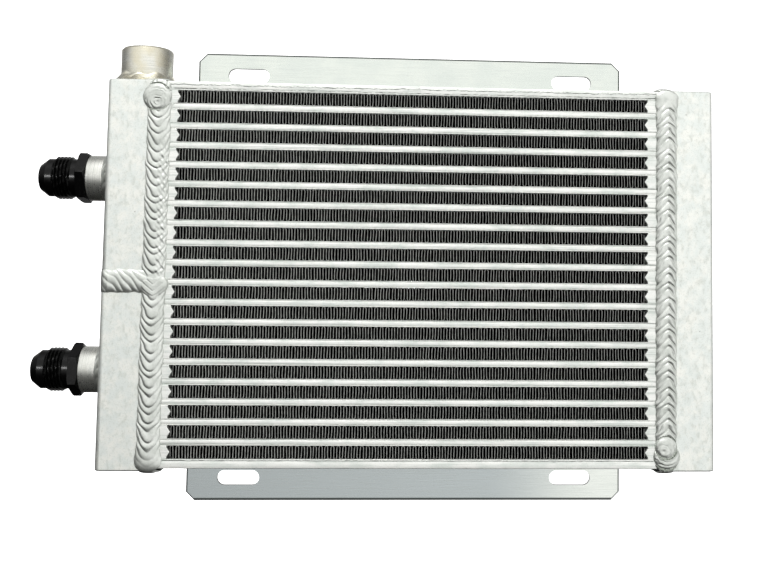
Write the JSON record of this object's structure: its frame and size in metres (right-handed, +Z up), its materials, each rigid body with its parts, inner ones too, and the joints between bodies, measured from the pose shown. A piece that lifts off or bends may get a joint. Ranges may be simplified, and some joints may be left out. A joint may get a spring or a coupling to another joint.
{
  "type": "hydraulic oil cooler",
  "caption": "Bar-and-plate aluminium oil cooler with welded side tanks, two black flared hose adapters, a top port and slotted mounting brackets.",
  "frame": {"origin": "centre of the four mounting slots, on the rear face of the brackets", "axes": "+X along the width, with the hose adapters at -X; +Y out of the brackets' rear face, so the cooler's front looks along -Y; +Z up, towards the top port"},
  "size_m": [0.4224, 0.0552, 0.292],
  "materials": {
    "fin_stock": "matte rolled foil",
    "weld_bead": "rippled satin",
    "black_anodised": "black anodised, semi-gloss",
    "seal_rubber": "matte",
    "turned_aluminium": "turned",
    "bracket_sheet": "mill-finish sheet",
    "tank_plate": "mottled satin, acid washed",
    "core_bar": "brazed satin"
  },
  "bodies": {
    "root": {"air_fin_01": "fin_stock", "air_fin_02": "fin_stock", "air_fin_03": "fin_stock", "air_fin_04": "fin_stock", "air_fin_05": "fin_stock", "air_fin_06": "fin_stock", "air_fin_07": "fin_stock", "air_fin_08": "fin_stock", "air_fin_09": "fin_stock", "air_fin_10": "fin_stock", "air_fin_11": "fin_stock", "air_fin_12": "fin_stock", "air_fin_13": "fin_stock", "air_fin_14": "fin_stock", "air_fin_15": "fin_stock", "air_fin_16": "fin_stock", "air_fin_17": "fin_stock", "air_fin_18": "fin_stock", "air_fin_19": "fin_stock", "bracket_bottom": "bracket_sheet", "bracket_bottom_welds": "weld_bead", "bracket_top": "bracket_sheet", "bracket_top_welds": "weld_bead", "cover_sheets": "core_bar", "end_bars_left": "core_bar", "end_bars_right": "core_bar", "left_tank_baffle": "tank_plate", "left_tank_bottom_cap": "tank_plate", "left_tank_lower": "tank_plate", "left_tank_middle_weld": "weld_bead", "left_tank_top_cap": "tank_plate", "left_tank_upper": "tank_plate", "left_tank_weld": "weld_bead", "lower_adapter": "black_anodised", "lower_port_bung": "turned_aluminium", "lower_port_weld": "weld_bead", "lower_seal_ring": "seal_rubber", "oil_bars_front": "core_bar", "oil_bars_rear": "core_bar", "oil_turbulators": "fin_stock", "parting_sheets": "core_bar", "right_tank": "tank_plate", "right_tank_bottom_cap": "tank_plate", "right_tank_top_cap": "tank_plate", "right_tank_weld": "weld_bead", "side_plate_bottom": "core_bar", "side_plate_top": "core_bar", "top_port_bung": "turned_aluminium", "top_port_weld": "weld_bead", "upper_adapter": "black_anodised", "upper_port_bung": "turned_aluminium", "upper_port_weld": "weld_bead", "upper_seal_ring": "seal_rubber"}
  },
  "joints": []
}
